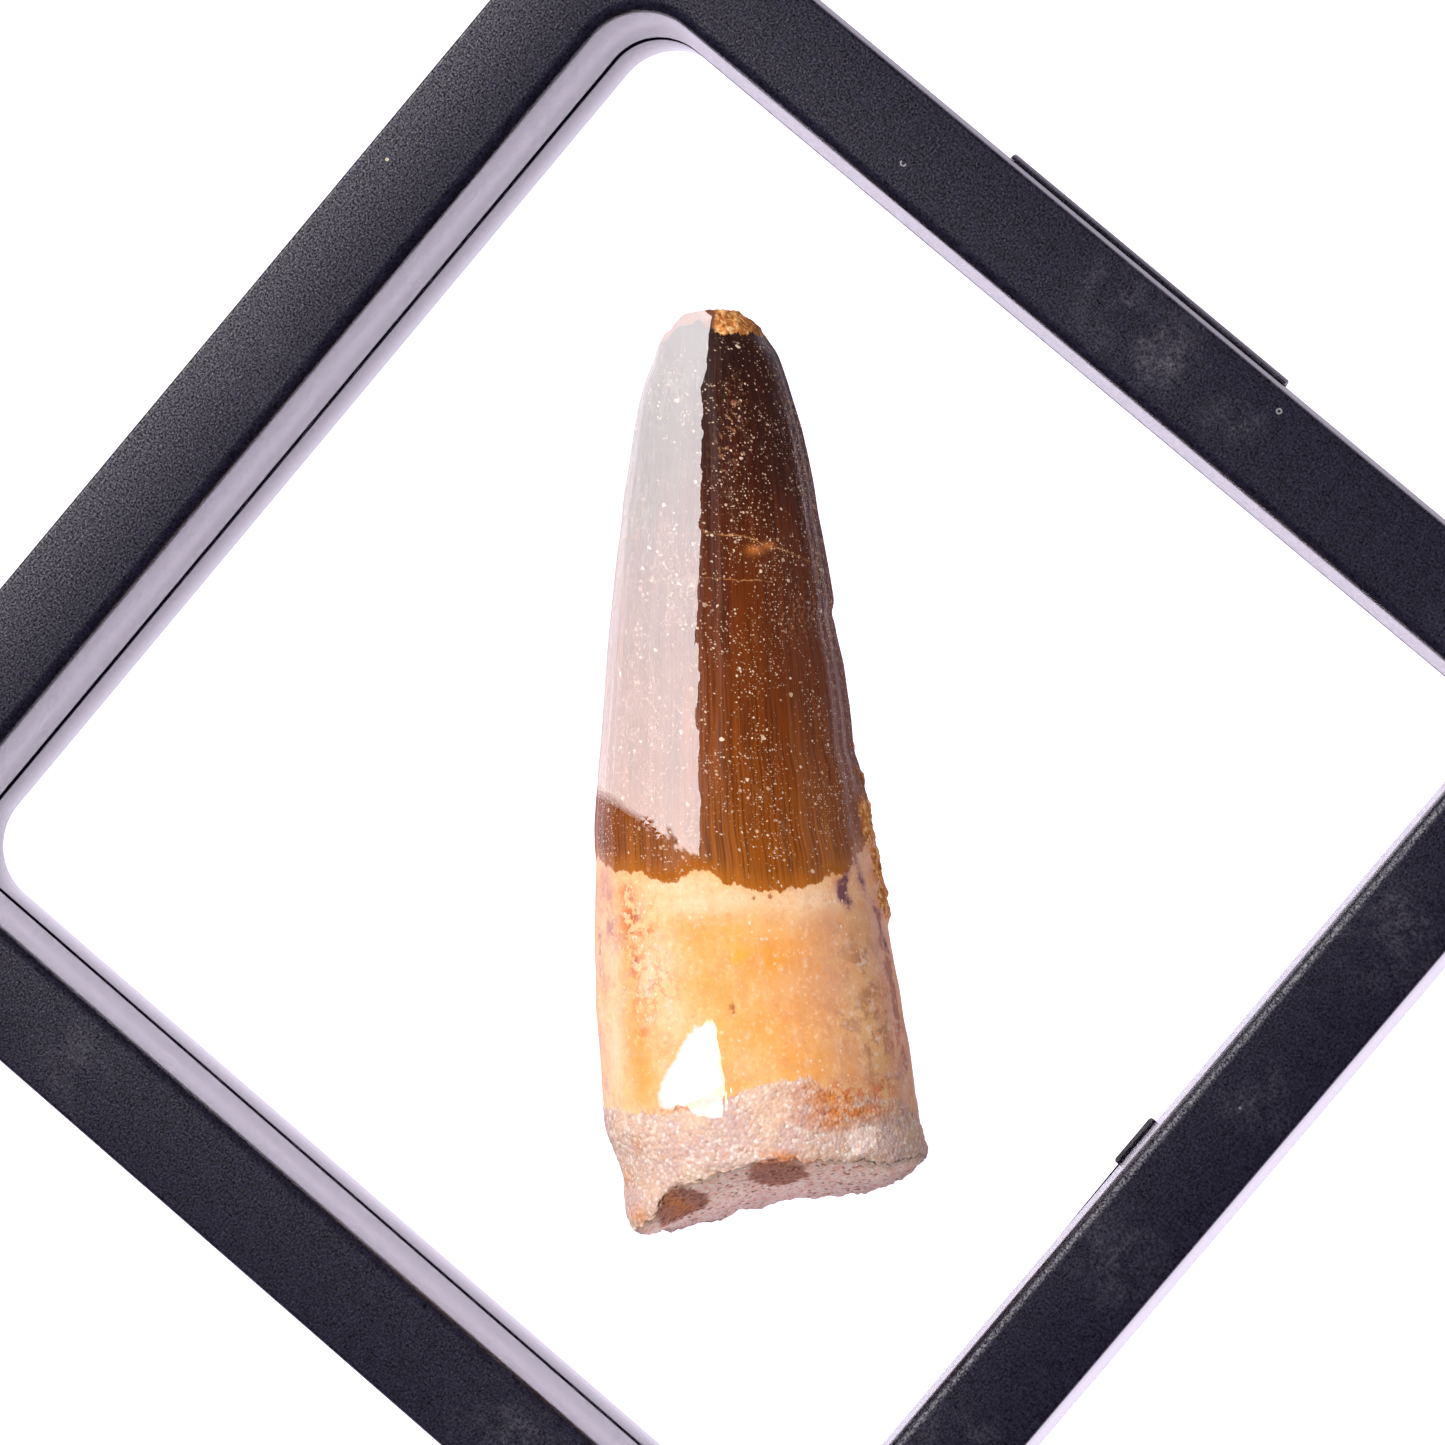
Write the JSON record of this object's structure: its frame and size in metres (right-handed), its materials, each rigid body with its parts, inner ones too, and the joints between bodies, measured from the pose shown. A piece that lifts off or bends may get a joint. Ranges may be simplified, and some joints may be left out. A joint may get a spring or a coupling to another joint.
{
  "type": "framed spinosaurus tooth",
  "caption": "Fossil spinosaurus tooth held between clear elastic films in a square black hinged display frame",
  "frame": {"origin": "middle of the back face, which the frame lies on", "axes": "+Z out through the front face, +Y towards the hinge side, X and Y along the frame's sides"},
  "size_m": [0.09, 0.0908, 0.02],
  "materials": {
    "frame_plastic": "charcoal black, fine spark-eroded grain",
    "ring_plastic": "plain black",
    "clear_film": "clear, smooth and glossy",
    "fossil": "polished dark brown enamel, cream root, granular sandstone base"
  },
  "bodies": {
    "back_half": {"back_bezel": "frame_plastic", "back_clamp_ring": "ring_plastic", "back_film": "clear_film", "tooth": "fossil", "hinge_web": "frame_plastic"},
    "front_half": {"front_bezel": "frame_plastic", "front_clamp_ring": "ring_plastic", "front_film": "clear_film"}
  },
  "joints": [
    {"name": "lid_hinge", "type": "hinge", "parent": "back_half", "child": "front_half", "pos_m": [0, 0.0454, 0.01], "axis": [-1, 0, 0], "range_deg": [0, 180], "deforming": ["hinge_web"]}
  ]
}
